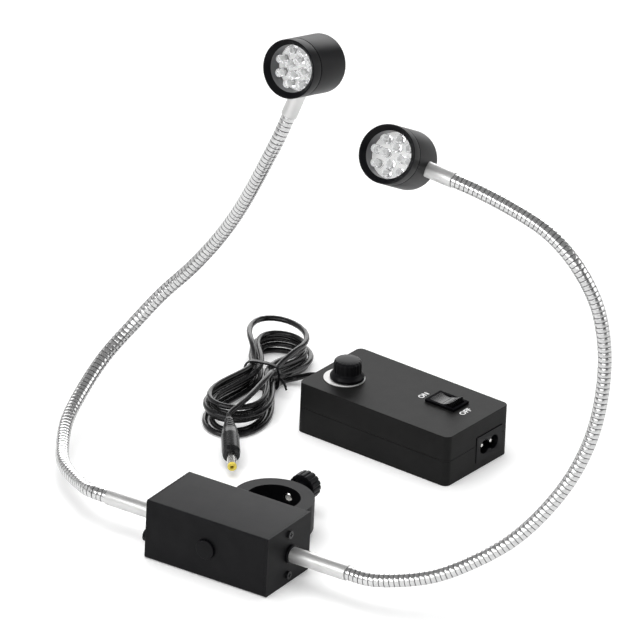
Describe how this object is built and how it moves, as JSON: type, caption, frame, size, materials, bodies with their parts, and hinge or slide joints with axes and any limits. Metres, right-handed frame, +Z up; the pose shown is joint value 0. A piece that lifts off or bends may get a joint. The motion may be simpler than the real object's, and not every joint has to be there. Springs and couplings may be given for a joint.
{
  "type": "dual gooseneck illuminator",
  "caption": "Box with a ring clamp for a post, carrying LED lamps on ribbed gooseneck hoses, and a dimmer power supply with a tied lead and barrel plug.",
  "frame": {"origin": "centre of the housing's underside", "axes": "+X to the housing's right end, -Y towards its front with the push button, +Z up"},
  "size_m": [0.3689, 0.2764, 0.2746],
  "materials": {
    "black_metal": "matte black anodised",
    "black_plastic": "satin",
    "inner_plastic": "matte",
    "case_plastic": "fine textured matte",
    "neck_chrome": "satin chrome",
    "nickel": "nickel plated",
    "board": "circuit board",
    "clear_lens": "clear",
    "dial_white": "printed white",
    "tip_yellow": "gloss",
    "lead_rubber": "satin black jacket"
  },
  "bodies": {
    "base": {"housing_shell": "black_metal", "left_end_plate": "black_metal", "right_end_plate": "black_metal", "clamp_ring": "black_metal", "dc_jack": "black_plastic", "blanking_plug": "black_plastic", "ferrule_collars": "black_plastic", "switch_frame": "black_plastic", "inlet_socket": "black_plastic", "strain_relief": "black_plastic", "hank_tie": "black_plastic", "plug_grip": "black_plastic", "push_switch": "inner_plastic", "supply_top": "case_plastic", "supply_bottom": "case_plastic", "case_screws": "nickel", "clamp_bolts": "nickel", "ferrule_nuts": "nickel", "left_base_ferrule": "nickel", "right_base_ferrule": "nickel", "potentiometer": "nickel", "inlet_pins": "nickel", "plug_barrel": "nickel", "driver_board": "board", "supply_board": "board", "dial_plate": "dial_white", "plug_tip": "tip_yellow", "supply_lead": "lead_rubber", "lead_hank": "lead_rubber", "plug_lead": "lead_rubber"},
    "push_button": {"push_button": "black_plastic"},
    "screw_pad": {"screw_pad": "nickel"},
    "thumbscrew": {"thumbscrew_knob": "black_plastic", "thumbscrew_rod": "nickel"},
    "dimmer": {"dimmer_knob": "black_plastic", "dimmer_shaft": "nickel"},
    "rocker": {"switch_rocker": "black_plastic"},
    "left_arm_lower": {"left_neck_base_bend": "neck_chrome", "left_neck_lower": "neck_chrome"},
    "left_arm_upper": {"left_neck_middle_bend": "neck_chrome", "left_neck_upper": "neck_chrome"},
    "left_lamp": {"left_neck_head_bend": "neck_chrome", "left_lamp_ferrule": "nickel", "left_lamp_barrel": "black_metal", "left_lamp_bezel": "black_metal", "left_lamp_lens": "clear_lens", "left_led_board": "board"},
    "right_arm_lower": {"right_neck_base_bend": "neck_chrome", "right_neck_lower": "neck_chrome"},
    "right_arm_upper": {"right_neck_middle_bend": "neck_chrome", "right_neck_upper": "neck_chrome"},
    "right_lamp": {"right_neck_head_bend": "neck_chrome", "right_lamp_ferrule": "nickel", "right_lamp_barrel": "black_metal", "right_lamp_bezel": "black_metal", "right_lamp_lens": "clear_lens", "right_led_board": "board"}
  },
  "joints": [
    {"name": "button_press", "type": "slide", "parent": "base", "child": "push_button", "axis": [0, 1, 0], "range_m": [0, 0.0012], "stiffness_N_per_m": 900, "springref_m": -0.0006},
    {"name": "pad_slide", "type": "slide", "parent": "base", "child": "screw_pad", "axis": [0, -1, 0], "range_m": [-0.00255, 0.00405]},
    {"name": "thumbscrew_turn", "type": "hinge", "parent": "screw_pad", "child": "thumbscrew", "pos_m": [0, 0.067, 0.016], "axis": [0, -1, 0], "range_deg": [-720, 1152]},
    {"name": "dimmer_turn", "type": "hinge", "parent": "base", "child": "dimmer", "pos_m": [-0.0383, 0.18671, 0.032], "axis": [0, 0, 1], "range_deg": [-135, 135]},
    {"name": "rocker_tip", "type": "hinge", "parent": "base", "child": "rocker", "pos_m": [0.02474, 0.19681, 0.0322], "axis": [0.075, 0.9972, 0], "range_deg": [0, 20]},
    {"name": "left_base_bend", "type": "hinge", "parent": "base", "child": "left_arm_lower", "pos_m": [-0.1022, 0.0035, 0.0166], "axis": [0, 0, 1], "range_deg": [-25, 40], "deforming": ["left_neck_base_bend"]},
    {"name": "left_middle_bend", "type": "hinge", "parent": "left_arm_lower", "child": "left_arm_upper", "pos_m": [-0.153, 0.1326, 0.0554], "axis": [-0.7624, 0.6471, 0], "range_deg": [-25, 25], "deforming": ["left_neck_middle_bend"]},
    {"name": "left_head_bend", "type": "hinge", "parent": "left_arm_upper", "child": "left_lamp", "pos_m": [-0.0681, 0.1422, 0.1927], "axis": [0.9247, -0.0184, -0.3802], "range_deg": [-30, 30], "deforming": ["left_neck_head_bend"]},
    {"name": "right_base_bend", "type": "hinge", "parent": "base", "child": "right_arm_lower", "pos_m": [0.1038, 0.0045, 0.0197], "axis": [0, 0, 1], "range_deg": [-40, 30], "deforming": ["right_neck_base_bend"]},
    {"name": "right_middle_bend", "type": "hinge", "parent": "right_arm_lower", "child": "right_arm_upper", "pos_m": [0.1982, 0.0769, 0.1206], "axis": [-0.0243, 0.9577, -0.2866], "range_deg": [-25, 25], "deforming": ["right_neck_middle_bend"]},
    {"name": "right_head_bend", "type": "hinge", "parent": "right_arm_upper", "child": "right_lamp", "pos_m": [0.1133, 0.0841, 0.2396], "axis": [0.2028, 0.0128, 0.9791], "range_deg": [-30, 30], "deforming": ["right_neck_head_bend"]}
  ],
  "couplings": [
    {"joint": "pad_slide", "follows": "thumbscrew_turn", "m_per_rad": 0.00019894}
  ]
}
